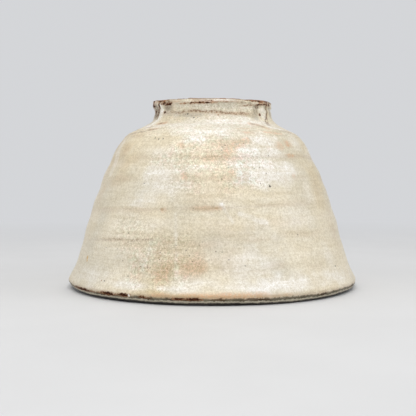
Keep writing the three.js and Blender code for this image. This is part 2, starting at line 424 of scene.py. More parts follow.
speck_marks = [
    (-34, 23.4, 11, 0.6, 1), (-4, 54.5, 8, 1.8, 0.5), (0, 75.2, 16, 1, 1), (-34, 16, 11, 5, 0.28),
    (-3, 36.6, 10, 1, 0.5), (-25.2, 13.5, 1.6, 3.4, 1), (12, 48, 9, 5, 0.25), (0, 20, 10, 8, 0.2),
    (5, 61, 14, 3, 0.3), (26, 48, 8, 5, 0.3), (-10, 20, 14, 4, 0.25), (-40, 75.4, 6, 1, 0.7),
]
busy_marks = [
    (0, 56, 26, 17, 0.6), (-21, 16, 17, 12, 0.65), (-36, 25, 10, 10, 0.4),
]

# Dark blots where the glaze has chipped or drawn back: azimuth, height, half width, half
# height, and a tilt where they have one
blot_marks = [
    (-74, 80.9, 1.6, 0.6, 20), (-80, 79.6, 2.2, 0.6, 20), (-73, 79.4, 1.2, 0.5, 20),
    (-60, 79.2, 0.8, 1.3), (-44.4, 79.4, 1.5, 0.42, 8), (-52, 79.9, 1.1, 0.42),
    (-51.7, 76.3, 0.6, 0.45), (-73, 77.1, 1.4, 0.5), (-19.4, 79.4, 0.6, 0.42),
    (-14, 79.4, 3.2, 0.3), (-8.6, 79.7, 0.9, 0.42, 20), (-5.2, 79.4, 1.1, 0.36),
    (-2.8, 80.3, 0.9, 0.28), (49.8, 74.9, 0.36, 0.7), (55, 79.7, 3.4, 0.14, 6), (69, 80.1, 1, 0.5),
    (-56, 80.6, 1.6, 0.3), (48.5, 80.7, 1.8, 0.3), (-64, 76, 0.6, 1.6), (-40.3, 2.65, 4.2, 0.62),
    (-32.6, 2.8, 2.6, 0.5), (-11, 2.7, 2.4, 0.5), (-6, 2.65, 2.6, 0.62), (-56, 2.4, 6, 0.5),
    (-24, 2.65, 1.3, 0.36),
]

# The sides and the back that the front doesn't show get marks of the same kinds
rng = np.random.default_rng(7)


def far_marks(count, low, high, wide, tall, strength):
    """Scatters marks over the sides and the back."""
    marks = []
    for _ in range(count):
        place = rng.uniform(80, 280), rng.uniform(low, high)
        size = rng.uniform(*wide), rng.uniform(*tall)
        tilt = rng.uniform(-10, 10)
        marks.append((*place, *size, rng.uniform(*strength), tilt))
    return marks


# The milky mask holds painted highlights as well as milky glaze
milky_and_highlight = patches(milky_and_highlight_marks + far_marks(18, 6, 68, (7, 18), (1.5, 5.5), (0.3, 0.75)), 0.0, 1.45)
tanned_and_shaded = patches(tan_and_shade_marks + far_marks(22, 8, 72, (5, 14), (1, 5), (0.4, 0.9)), 0.1, 1.4)
warmed = sum(patches([(*place, 1)], 0, 1.5) * strength for *place, strength in warm_marks)
rusty = patches(rust_marks + far_marks(18, 5, 70, (0.8, 5), (0.6, 1.6), (0.3, 0.7)))
greyed = patches(grey_marks + far_marks(8, 8, 76, (5, 14), (2, 6), (0.15, 0.35)))
specked = patches(speck_marks + far_marks(12, 4, 76, (3, 12), (0.6, 5), (0.3, 0.9)))
iron_far = far_marks(9, 2.4, 3.8, (2, 6), (0.5, 0.8), (0.6, 1))
iron_far += far_marks(9, 79.2, 80.6, (1.5, 4), (0.5, 1.1), (0.6, 1))
ironed = patches(iron_far)
browned = patches(brown_marks + far_marks(10, 74, 81, (1.5, 7), (0.5, 1.6), (0.2, 0.5)))
busy = 0.62 + patches(busy_marks + far_marks(6, 10, 60, (10, 22), (8, 14), (0.3, 0.6)))
busy = np.maximum(busy, smoothstep(62, 66, heights) * outside)
blotted = blots(blot_marks)

# Under the ring crests the glaze turns tan in stretches, partly tan glaze and partly painted shade on
# the rings' lower flanks
flank = smoothstep(0.55, 1.0, ring_wave(heights + 0.9 * noise(base, 24, 21), turn, 0.26))
flank_stretch = smoothstep(-0.1, 0.7, noise(base, 15, 22, (1, 1, 2)))
tanned_and_shaded = np.maximum(tanned_and_shaded, 0.3 * flank * flank_stretch * outside)
# Pale strokes, partly painted highlights, join the milky places
milky_and_highlight = np.maximum(milky_and_highlight, strokes(pale_and_highlight_strokes))
rusty = np.maximum(rusty, strokes(rust_strokes))
browned = np.maximum(browned, strokes(brown_strokes))

# Thin brown lines in the glaze, the faint last one partly painted shade: azimuths, heights and
# strengths along each
brown_and_shade_lines = [
    ([-50, -32, -23, -7, 3, 13, 18, 29, 42],
     [76.1, 75.8, 76.1, 75.8, 75.7, 75.3, 75.1, 75.2, 75.2],
     [0.3, 0.7, 0.9, 0.9, 0.9, 0.9, 0.9, 0.8, 0]),
    ([-20.5, -19, -8, -6], [79.4, 79.4, 79.5, 79.5], [0, 1, 1, 0]),
    ([-72, -57, -39, -26, -22], [22.2, 22.8, 23.6, 24.1, 24.2], [0, 0.1, 0.5, 0.4, 0]),
    ([-76, -62, -43, -36], [66.6, 67.1, 67.9, 68.7], [0, 0.6, 0.6, 0]),
    ([-70, -60, -50, -45], [68.4, 68.9, 69.8, 70.4], [0, 0.5, 0.6, 0]),
    ([29, 32.5, 38, 42], [71.0, 70.6, 69.8, 68.6], [0, 0.5, 0.5, 0]),
    ([44, 52, 66, 76], [68.9, 67.9, 66.9, 66.5], [0, 0.5, 0.5, 0]),
    ([-16, -10, 8, 30, 72], [56.1, 56.2, 56.3, 56.5, 57.5], [0, 0.2, 0.25, 0.1, 0.1]),
    # On a ring's lower flank: partly painted shade
    ([-80, -40, -12, 4, 30, 76], [34.6, 35.4, 36.3, 36.6, 37.2, 38],
     [0.02, 0.05, 0.1, 0.15, 0.05, 0.02]),
]
line_reach = 2.0
line_waver = 0.14 * noise(base[outer_cut], 7, 35)
line_apart = np.full_like(radii, far_off)
line_ink = np.zeros_like(radii)
for places, levels, inks in brown_and_shade_lines:
    up = rises - rise_at(np.interp(azimuth, places, levels) + line_waver)
    up *= outside
    ink = np.interp(azimuth, places, inks, left=0, right=0)
    nearer = np.abs(up) < np.abs(line_apart)
    line_ink = np.where(nearer, ink * (np.abs(up) < line_reach), line_ink)
    line_apart = np.where(nearer, up, line_apart)

# Where the coat breaks at the lip: its height wanders round the bowl, and one drop of glaze
# has stayed on it in front
break_places = [-180, -140, -90, -66, -55, -39, -11, 10, 24, 42, 55, 90, 135, 180]
break_heights = [2.7, 2.2, 2.5, 2.3, 2.1, 2.3, 2.4, 2.4, 2.2, 2.1, 2.5, 2.3, 2.8, 2.7]
break_rise = rise_at(np.interp(azimuth, break_places, break_heights))
inner_break_height = 1.9
lip_drop = (-30, 2.8, 0.6, 0.7, 1)
roll = slice(inner_cut, band_cut + 1)
inner_break_rise = np.interp(-inner_break_height, -outline[roll, 1], rise[roll])
bared = np.minimum(break_rise - rises, rises - inner_break_rise)
bared += 0.16 * noise(base, 2.4, 31) + 0.12 * noise(base, 0.9, 32)
bared -= 1.5 * patches([lip_drop])

# Where the foot's coat ends: nearly at its edge in front, and lower where it has chipped
top_rise = rise[foot_cut]
chip_depths = [
    (-180, 0.3), (-140, 1.2), (-110, 0.2), (-82, -0.1), (-72, -0.2), (-60, 0.4), (-50, 0.6),
    (-44, -0.1), (-20, -0.4), (28, -0.4), (38, 0.3), (52, 0.7), (64, 0.9), (76, 0.1), (100, 0.2),
    (140, 1.1), (180, 0.3),
]
chip_depth = np.interp(azimuth, *np.transpose(chip_depths))
jagged = 0.5 * noise(base, 1.6, 33) + 0.3 * noise(base, 0.7, 34)
foot_bared = rises - (top_rise - chip_depth * (1 + 1.8 * jagged * (chip_depth > 0)))

# The wall is a little fuller under the shoulder, and leaner above the lip, than its outline
body_heights = [0, 5, 9, 17, 55, 61, 66, 69, 72, 75.5]
body_swell = [0, 0, -0.22, 0, 0, 0.32, 0.2, -0.15, -0.2, 0]

# How the sides differ from the outline: height, reach and amount
right_swells = [
    (81.4, 0.9, 0.8), (79.5, 1.0, -0.2), (78.4, 0.8, -0.4), (76.3, 4.2, 0.5), (69.8, 1.2, -0.18),
    (67.8, 1.0, 0.15), (64.6, 0.9, -0.1), (58.0, 3.4, -0.42), (41.0, 1.8, -0.25), (16.0, 3.0, -0.2),
]
left_swells = [
    (81.4, 0.9, 0.8), (80.5, 0.8, 0.25), (77.2, 2.0, -0.4), (73.6, 1.15, -0.52), (67.4, 1.5, 0.26),
    (66.2, 1.6, -0.2), (64.3, 1.2, -0.2), (42.0, 4.5, -0.25), (30, 26, -0.12), (13.0, 2.8, -0.3),
]

# How far the skin is pushed out or in: unevenness, tool lines, swells, runs and breaks
push = 0.17 * noise(base, 30, 41) + 0.07 * noise(base, 10, 42, (1, 1, 0.5))
push += 0.028 * noise(base, 4.2, 43) + 0.014 * noise(base, 1.7, 44)
flat_floor = smoothstep(rise[band_cut], rise[band_cut] - 4, rises)
lines = np.sin(2 * np.pi * (heights / 1.9) - turn + 1.5 * noise(base, 9, 45))
patchy = smoothstep(0.0, 0.8, noise(base, 17, 46))
push += 0.03 * lines * patchy * (outside + flat_floor)
push += np.interp(heights, body_heights, body_swell) * outside
for side, swells in ((1, right_swells), (-1, left_swells)):
    side_share = np.clip(side * np.sin(np.radians(azimuths)), 0, 1)**2 * outside
    for middle, reach, amount in swells:
        push += amount * side_share * np.exp(-((heights - middle) / reach)**2)
runs = noise(base, 3.0, 47, (1, 1, 7)) * (1 - smoothstep(12, 26, heights))
push += 0.05 * runs * outside
shoulder = smoothstep(64, 68, heights) * (1 - smoothstep(73, 75.4, heights)) * outside
grooves = np.sin(2 * np.pi * rises / 2.3 + 0.8 * noise(base, 12, 48))
push += 0.06 * shoulder * grooves * smoothstep(-0.5, 0.6, noise(base, 20, 49))
push += 0.1 * milky_and_highlight - 0.08 * tanned_and_shaded
push -= 0.12 * smoothstep(-0.1, 0.25, bared) * smoothstep(-9, -4, rises)
push -= 0.12 * line_ink * np.exp(-(line_apart / 0.5)**2)

# A web of glaze on the foot's left, where fingers held it, that runs on down the shoulder
web_heights = [66, 69.9, 71.4, 73.2, 76.3, 81.5]
web_line = np.interp(heights, web_heights, [-44, -55, -57.6, -58.6, -57.2, -56])
web_width = np.interp(heights, [69, 75], [3.0, 1.8])
web = np.exp(-(np.radians(azimuths - web_line) * radii / web_width)**2)
web *= smoothstep(66.5, 71, heights) * outside
web *= 1 - smoothstep(79.2, 80.4, heights)
push += 0.42 * web
milky_and_highlight = np.maximum(milky_and_highlight, 0.7 * smoothstep(0.25, 0.7, web))
browned *= 1 - smoothstep(0.3, 0.8, web)

# A finger's mark on the foot's right: a raised oval with a dark groove beyond it
along, up = apart(54.6, 75.5)
oval = (1 - smoothstep(0.6, 1.05, np.hypot(along / 3.3, up / 3.8))) * outside
groove = stroke([(62.6, 79), (65.2, 76.8), (61.5, 74.5), (55.3, 72.6), (49.5, 70.7)], 0.85)
groove *= np.interp(heights, [70.5, 73.5], [0.4, 1])
push += 0.3 * oval - 0.28 * groove
milky_and_highlight = np.maximum(milky_and_highlight, 0.5 * oval)
browned = np.maximum(browned * (1 - oval), 0.95 * groove)
rusty = np.maximum(rusty, 0.6 * groove)

# Chips in the foot's edge, and blots
push -= 0.12 * smoothstep(0, 0.25, blotted)
push -= 0.08 * smoothstep(-0.1, 0.3, foot_bared) * smoothstep(74, 76, heights)

normal = rights(outline)
lip_lift = 0.16 * (1 + noise(base, 34, 51)) * (1 - smoothstep(0, 9, heights))


def pushed(amount, into=0):
    """The skin, with its outline moved by a vector of each row, pushed outwards by an amount."""
    points = swept(outline + into)
    points[..., :2] += (amount * normal[:, 0, None])[..., None] * facing
    points[..., 2] += amount * normal[:, 1, None] + lip_lift
    points[..., 2] = np.maximum(points[..., 2], 0)
    points[0] = points[0].mean(axis=0)
    return points


skin = pushed(push)


def grid_normals(points):
    """Unit normals of a grid that closes round its columns."""
    around = np.roll(points, -1, axis=1) - np.roll(points, 1, axis=1)
    up = np.gradient(points, axis=0)
    cross = np.cross(around, up)
    return cross / np.maximum(np.linalg.norm(cross, axis=-1, keepdims=True), 1e-12)


skin_normals = grid_normals(skin)
skin_normals[0] = (0, 0, -1)

# Masks that the glaze materials read at each point
masks = {
    "milky_and_highlight": milky_and_highlight, "tan": tanned_and_shaded, "warm": warmed, "rust": rusty, "grey": greyed, "brown": browned,
    "iron": ironed, "blot": blotted, "busy": busy, "specks": specked, "line": line_apart,
    "ink": line_ink,
    "bare": np.maximum(bared, np.where(heights > join_height - foot_height, foot_bared, -far_off)),
}


def strip_uv(face_rows, total_rows, count, strips, along):
    """Lays a coat's face out in strips and its back in one band, as corners of each row."""
    margin = 0.008
    face_share = 0.9
    bands = []
    for row in range(total_rows):
        if row < face_rows:
            parts, floor, room = strips, 0, face_share / strips
            levels = along[row:row + 2]
        else:
            parts, floor, room = 1, face_share, 1 - face_share
            levels = np.arange(row, row + 2) - face_rows
            levels = levels / (total_rows - face_rows)
        across = margin + np.linspace(0, 1, count // parts + 1) * (1 - 2 * margin)
        starts = floor + margin + np.repeat(np.arange(parts), count // parts) * room
        low, high = (starts + level * (room - 2 * margin) for level in levels)
        bands.append((np.tile(across[:-1], parts), np.tile(across[1:], parts), low, high))
    return bands


def shell(name, face, face_normals, back, back_normals, strips, face_masks=None):
    """Makes a closed coat from its face and its back, rows of rings in the order of the loop."""
    rings = np.vstack([face, back])
    normals = np.vstack([face_normals, back_normals])
    total, count = rings.shape[:2]
    poled = np.ptp(rings[0], axis=0).max() < 1e-9
    steps = np.linalg.norm(np.diff(face, axis=0), axis=-1).mean(axis=1)
    along = np.concatenate([[0], np.cumsum(steps)]) / steps.sum()
    index = np.arange(total * count).reshape(total, count)
    if poled:
        index[[0, -1]] = index[[0, -1], :1]
    keep, index = np.unique(index, return_inverse=True)
    index = index.reshape(total, count)
    pairs = total - 1 if poled else total
    bands = strip_uv(len(face) - 1, pairs, count, strips, along)
    faces = []
    corners = []
    for row in range(pairs):
        low, high = index[row], index[(row + 1) % total]
        low_next, high_next = np.roll(low, -1), np.roll(high, -1)
        u0, u1, v0, v1 = bands[row]
        ring = [low, low_next, high_next, high]
        spots = [(u0, v0), (u1, v0), (u1, v1), (u0, v1)]
        if low[0] == low[1]:
            ring[:2] = [low]
            spots[:2] = [((u0 + u1) / 2, v0)]
        elif high[0] == high[1]:
            ring[2:] = [high]
            spots[2:] = [((u0 + u1) / 2, v1)]
        faces += np.column_stack(ring).tolist()
        corners.append(np.transpose(spots, (2, 0, 1)).reshape(-1, 2))
    mesh = bpy.data.meshes.new(name)
    points = rings.reshape(-1, 3)[keep] * MM
    mesh.from_pydata(points.tolist(), [], faces)
    layer = mesh.uv_layers.new(name="OFBake")
    layer.uv.foreach_set("vector", np.vstack(corners).ravel())
    mesh.polygons.foreach_set("use_smooth", np.ones(len(faces), bool))
    for mask_name, mask in (face_masks or {}).items():
        values = np.zeros((total, count))
        values[:len(face)] = mask
        if mask_name in ("bare", "blot"):
            values[len(face):] = -far_off
        attribute = mesh.attributes.new(mask_name, "FLOAT", "POINT")
        attribute.data.foreach_set("value", values.ravel()[keep].astype(np.float32))
    mesh.update()
    mesh.normals_split_custom_set_from_vertices(normals.reshape(-1, 3)[keep].tolist())
    piece = bpy.data.objects.new(name, mesh)
    bpy.context.scene.collection.objects.link(piece)
    return piece


def inwards(depth):
    """How a back lies from the skin: one depth into the clay, and sideways where coats meet."""
    into = -rights(outline)
    for cut in (inner_cut, outer_cut, join_cut, foot_cut):
        into[cut] = (np.sign(into[cut, 0]), 0)
    into[0] = (0, 1)
    return into * depth


# A coat's back follows its face, but stays in place at the foot's edge, where the clay begins
thinnest = 0.15
edge_fade = 1 - smoothstep(rise[foot_cut] - 2, rise[foot_cut], rises)
coat_back = pushed(np.minimum(push * edge_fade, push + coat - thinnest), inwards(coat))


def coat_from(name, start, end, strips, back_step=3, skip=1):
    """Cuts a coat from the skin between two rows, with its back under it."""
    face = slice(start, end + 1), slice(None, None, skip)
    picks = np.unique(np.append(np.arange(start, end, back_step), end))[::-1]
    face_masks = {key: mask[face] for key, mask in masks.items()}
    return shell(name, skin[face], skin_normals[face], coat_back[picks, ::skip],
                 -skin_normals[picks, ::skip], strips, face_masks)


def clay_under(name, row_step=3, skip=3):
    """Makes the wall and floor of clay, which the coats and the foot hide."""
    picks = np.unique(np.append(np.arange(0, join_cut, row_step), join_cut))
    under = pushed(push, inwards(coat + clearance))[picks, ::skip]
    under[-1, :, 2] = join_height
    lid = np.array([(well_radius, 0), (well_swelling[0], 0), (0, well_swelling[1])])
    rings = np.concatenate([under, swept(lid + (0, join_height))[:, ::skip]])
    rings[-1] = rings[-1].mean(axis=0)
    normals = grid_normals(rings)
    normals[0] = (0, 0, -1)
    normals[-1] = (0, 0, 1)
    return shell(name, rings[:-1], normals[:-1], rings[-1:], normals[-1:], 2)


def turned_solid(name, points, visible, strips, shape, top_first=False, face_masks=None):
    """Turns an outline whose visible rows come first, and pushes these about by a shape.
    Where the outline starts on the axis with its top, its sides are the other way round."""
    side = -1 if top_first else 1
    rings = swept(points)[:, ::side]
    around = np.arctan2(rings[..., 1], rings[..., 0])
    radius = points[:, 0, None] + 0 * around
    push = shape(rings, radius, points[:, 1, None], around)
    push[visible:] = 0
    away = side * rights(points)
    rings[..., :2] += (push * away[:, 0, None])[..., None] * facing[::side]
    rings[..., 2] += push * away[:, 1, None]
    if top_first:
        rings[0] = rings[0].mean(axis=0)
    normals = grid_normals(rings)
    if top_first:
        normals[0] = (0, 0, 1)
        normals[-1] = (0, 0, -1)
    return shell(name, rings[:visible], normals[:visible], rings[visible:], normals[visible:],
                 strips, face_masks)


outer_coat = coat_from("outer_coat", outer_cut, join_cut, 2, back_step=6)
lip_coat = coat_from("lip_coat", inner_cut, outer_cut, 6)
foot_coat = coat_from("foot_coat", join_cut, foot_cut, 5)
inner_coat = coat_from("inner_coat", 0, inner_cut, 2, skip=2)
clay_body = clay_under("clay_body")

# Bare clay of the foot: its face, worn edges and the wall of the well, and the hidden rest
face_height = join_height + foot_height
snug = 0.03
face_outer = bevel_end[0] - coat - snug
rim_depth = 0.6
outer_wear = 0.2
inner_wear = 0.4
outer_centre = (face_outer - outer_wear, face_height - outer_wear)
inner_centre = (face_inner_radius, face_height - inner_wear)
flat_rows = 22
wear_rows = 4
well_rows = 24
clay_outline = joined([
    np.linspace((face_outer, face_height - rim_depth), (face_outer, outer_centre[1]), 3),
    arc(outer_centre, outer_wear, 0, 0.5 * math.pi, wear_rows),
    np.linspace((outer_centre[0], face_height), (inner_centre[0], face_height), flat_rows),
    arc(inner_centre, inner_wear, 0.5 * math.pi, math.pi, wear_rows),
    np.linspace((inner_centre[0] - inner_wear, inner_centre[1]),
                (well_radius + clearance, join_height), well_rows),
])
clay_visible = len(clay_outline)
clay_outline = np.vstack([clay_outline, foot_side[::-1] - (2 * coat, 0)])


def clay_shape(rings, radius, height, around):
    """Roughens the foot's clay, with a trimmed spiral on its face and chips in its edges."""
    rough = 0.035 * noise(rings, 1.3, 61) + 0.03 * noise(rings, 0.6, 62) + 0.07 * noise(rings, 7, 63)
    spiral = np.sin(2 * np.pi * (radius + height) / 1.15 + around)
    rough += 0.05 * spiral * smoothstep(-0.4, 0.6, noise(rings, 6, 64))
    edge = np.exp(-((radius - face_outer) / 0.5)**2)
    edge += np.exp(-((radius - face_inner_radius) / 0.6)**2)
    return rough - 0.3 * smoothstep(0.15, 0.6, noise(rings, 2.2, 65)) * edge - 0.02


foot_clay = turned_solid("foot_clay", clay_outline, clay_visible, 3, clay_shape)

# Glaze in the well: a pool over a low swelling, that creeps up the wall at its edge
pool_height = join_height + coat + clearance
pool_edge = well_radius + clearance - 0.02
creep_height = 0.55
creep_width = 0.5
pool_radii = np.linspace(0, pool_edge, pool_rows)
pool_rise = np.interp(pool_radii, (0, well_swelling[0]), (well_swelling[1], 0))
pool_rise += creep_height * np.exp((pool_radii - pool_edge) / creep_width)
pool_outline = np.vstack([
    np.column_stack([pool_radii, pool_height + pool_rise]),
    (pool_edge, join_height + clearance),
    (well_swelling[0], join_height + clearance),
    (0, join_height + clearance + well_swelling[1]),
])


def pool_shape(rings, radius, height, around):
    """Leaves the well's floor as it was trimmed: a spiral under uneven glaze."""
    trimmed = 0.07 * np.sin(2 * np.pi * radius / 2.6 - around) * smoothstep(1.5, 4, radius)
    return trimmed + 0.1 * noise(rings, 8, 71) + 0.03 * noise(rings, 2.4, 72)


# The pool's coat is whole, and turns brown where it thins at its edge
pool_bared = pool_radii[:, None] - pool_edge + 0.1 + 0 * turn
pool_masks = {"bare": pool_bared, "blot": -far_off, "line": far_off, "busy": 1}
well_coat = turned_solid("well_coat", pool_outline, pool_rows, 2, pool_shape, top_first=True,
                         face_masks=pool_masks)


class Shader:
    """Writes the nodes of a material or a world: each call adds some and returns an output."""

    def __init__(self, owner):
        self.owner = owner
        owner.use_nodes = True
        self.tree = owner.node_tree
        self.tree.nodes.clear()

    def add(self, kind, values=(), **settings):
        """Adds a node. A value is a number, a colour or another node's output."""
        node = self.tree.nodes.new("ShaderNode" + kind)
        for key, value in settings.items():
            setattr(node, key, value)
        for key, value in dict(values).items():
            if isinstance(value, bpy.types.NodeSocket):
                self.tree.links.new(value, node.inputs[key])
            elif node.inputs[key].type == "RGBA":
                node.inputs[key].default_value = (*value, 1)
            else:
                node.inputs[key].default_value = value
        return node

    def vector(self, operation, first, second=(0, 0, 0), output=0):
        node = self.add("VectorMath", {0: first, 1: second}, operation=operation)
        return node.outputs[output]

    def scale(self, vector, factor):
        return self.add("VectorMath", {0: vector, 3: factor}, operation="SCALE").outputs[0]

    @cached_property
    def place(self):
        """The point of the object, in millimetres."""
        return self.scale(self.add("TexCoord").outputs["Object"], 1 / MM)

    def math(self, operation, first, *others, clamp=False):
        """Joins a value with others, one after another."""
        for other in others:
            node = self.add("Math", {0: first, 1: other}, operation=operation, use_clamp=clamp)
            first = node.outputs[0]
        return first

    def plus(self, *values):
        return self.math("ADD", *values)

    def times(self, *values, clamp=False):
        return self.math("MULTIPLY", *values, clamp=clamp)

    def noise(self, size, detail=2.0, rough=0.55, factors=(1, 1, 1)):
        """Noise from 0 to 1, whose features measure size millimetres over a factor each way."""
        place = self.vector("MULTIPLY", self.place, factors)
        values = {"Vector": place, "Scale": 1 / size, "Detail": detail, "Roughness": rough}
        return self.add("TexNoise", values).outputs["Fac"]

    def step(self, value, low, high, first=0.0, last=1.0):
        """Goes smoothly from first to last as the value goes from low to high."""
        values = {"Value": value, "From Min": low, "From Max": high,
                  "To Min": first, "To Max": last}
        node = self.add("MapRange", values, interpolation_type="SMOOTHSTEP")
        return node.outputs["Result"]

    def sway(self, noise, reach, middle=0.0):
        """Noise that goes up to a reach under and over a middle."""
        return self.step(noise, 0.3, 0.7, middle - reach, middle + reach)

    def mix(self, share, first, second):
        """Mixes two colours."""
        node = self.add("Mix", {0: share, 6: first, 7: second}, data_type="RGBA")
        return node.outputs[2]

    def tint(self, colour, amount, shares):
        """Brightens a colour by an amount, which each channel takes its own share of."""
        change = self.vector("ADD", self.scale(shares, amount), (1, 1, 1))
        return self.vector("MULTIPLY", colour, change)

    def mask(self, name):
        return self.add("Attribute", attribute_name=name).outputs["Fac"]

    def dot(self, spot, wide, high):
        """A small oval dot at one point of the surface."""
        away = self.vector("SUBTRACT", self.place, tuple(spot))
        away = self.vector("MULTIPLY", away, (1 / wide, 1 / wide, 1 / high))
        return self.step(self.vector("LENGTH", away, output="Value"), 1.25, 0.6)

    def specks(self, size, outer, inner):
        """A speck in each cell of a size, and the cell's three random numbers."""
        values = {"Vector": self.place, "Scale": 1 / size}
        cells = self.add("TexVoronoi", values, feature="F1").outputs
        chances = self.add("SeparateColor", {0: cells["Color"]}).outputs
        return self.step(cells["Distance"], outer, inner), chances

    def seen(self):
        """1 for the camera and for what shows in gloss and glass, and 0 for other light."""
        rays = self.add("LightPath").outputs
        kinds = ("Camera", "Transmission", "Glossy")
        return self.math("MAXIMUM", *(rays[f"Is {kind} Ray"] for kind in kinds))

    def surface(self, colour, roughness, height, depth, shine=0.5, coat_weight=0.0):
        """A surface whose relief is depth millimetres."""
        bump = self.add("Bump", {"Height": height, "Distance": depth * MM, "Strength": 1.0})
        surface = self.add("BsdfPrincipled", {
            "Base Color": colour, "Roughness": roughness, "Normal": bump.outputs["Normal"],
            "Specular IOR Level": shine, "Coat Weight": coat_weight, "Coat Roughness": 0.25})
        return surface.outputs["BSDF"]

    def end(self, surface, kind="OutputMaterial"):
        self.add(kind, {"Surface": surface})
        return self.owner


# Colours, as linear values
cream_warm = (0.745, 0.66, 0.495)
cream_cool = (0.66, 0.60, 0.47)
tan = (0.55, 0.42, 0.28)
# White of milky glaze, also used for painted highlights
milk_and_highlight_white = (0.87, 0.84, 0.79)
lilac_grey = (0.44, 0.395, 0.335)
orange = (0.62, 0.37, 0.20)
amber = (0.60, 0.36, 0.08)
ochre = (0.46, 0.33, 0.20)
rusty_brown = (0.34, 0.17, 0.085)
olive = (0.125, 0.11, 0.075)
umber = (0.055, 0.03, 0.015)
iron = (0.085, 0.035, 0.016)
line_brown = (0.10, 0.04, 0.018)
line_tan = (0.45, 0.31, 0.19)
dark = (0.015, 0.006, 0.003)
# Greenish glaze under the lip's edge, darkened as painted shade
celadon_with_painted_shade = (0.48, 0.44, 0.335)
# Clay of the lip's standing band, made near-black as painted shadow where the lip meets the floor
lip_clay_and_painted_shadow = (0.03, 0.022, 0.016)
burnt = (0.11, 0.06, 0.034)
red_dark = (0.10, 0.032, 0.012)
clay_red = (0.20, 0.085, 0.045)
clay_pale = (0.35, 0.18, 0.095)
sand = (0.62, 0.50, 0.36)


def on_outside(where, height):
    """The point of the outside at an azimuth and a height."""
    row = roll_cut + int(np.argmin(np.abs(outline[roll_cut:, 1] - height)))
    column = int(np.argmin(np.abs(azimuth - where)))
    return skin[row, column]


# Single dots and pinholes of the front: azimuth, height, half width, half height and colour
wall_dots = [
    (27.1, 44.7, 0.5, 0.5, dark), (-45.1, 7.3, 0.36, 0.36, rusty_brown),
    (-43.5, 7.5, 0.32, 0.32, dark), (57.3, 11.9, 0.36, 0.36, dark), (20.5, 51.5, 0.22, 0.22, dark),
    (23.5, 52, 0.22, 0.22, dark), (-36, 26.5, 0.26, 0.26, dark), (-34.6, 64, 0.3, 0.3, dark),
    (-31.6, 63.7, 0.32, 0.32, dark), (-28.9, 63.9, 0.34, 0.3, dark), (-33, 46, 0.26, 0.26, dark),
    (-22.8, 75, 0.4, 0.35, dark), (4.2, 75.4, 0.4, 0.35, rusty_brown),
    (-16.1, 73.4, 0.4, 0.34, dark), (-12.5, 73.3, 0.25, 0.25, dark),
    (5.7, 74.5, 0.35, 0.5, rusty_brown), (-62, 14.9, 0.8, 1.1, amber), (-61, 13.9, 0.5, 0.5, amber),
    (-46.8, 71.2, 0.8, 0.45, rusty_brown), (-21.3, 36.0, 0.8, 0.6, ochre), (2, 36.4, 0.9, 0.4, ochre),
]


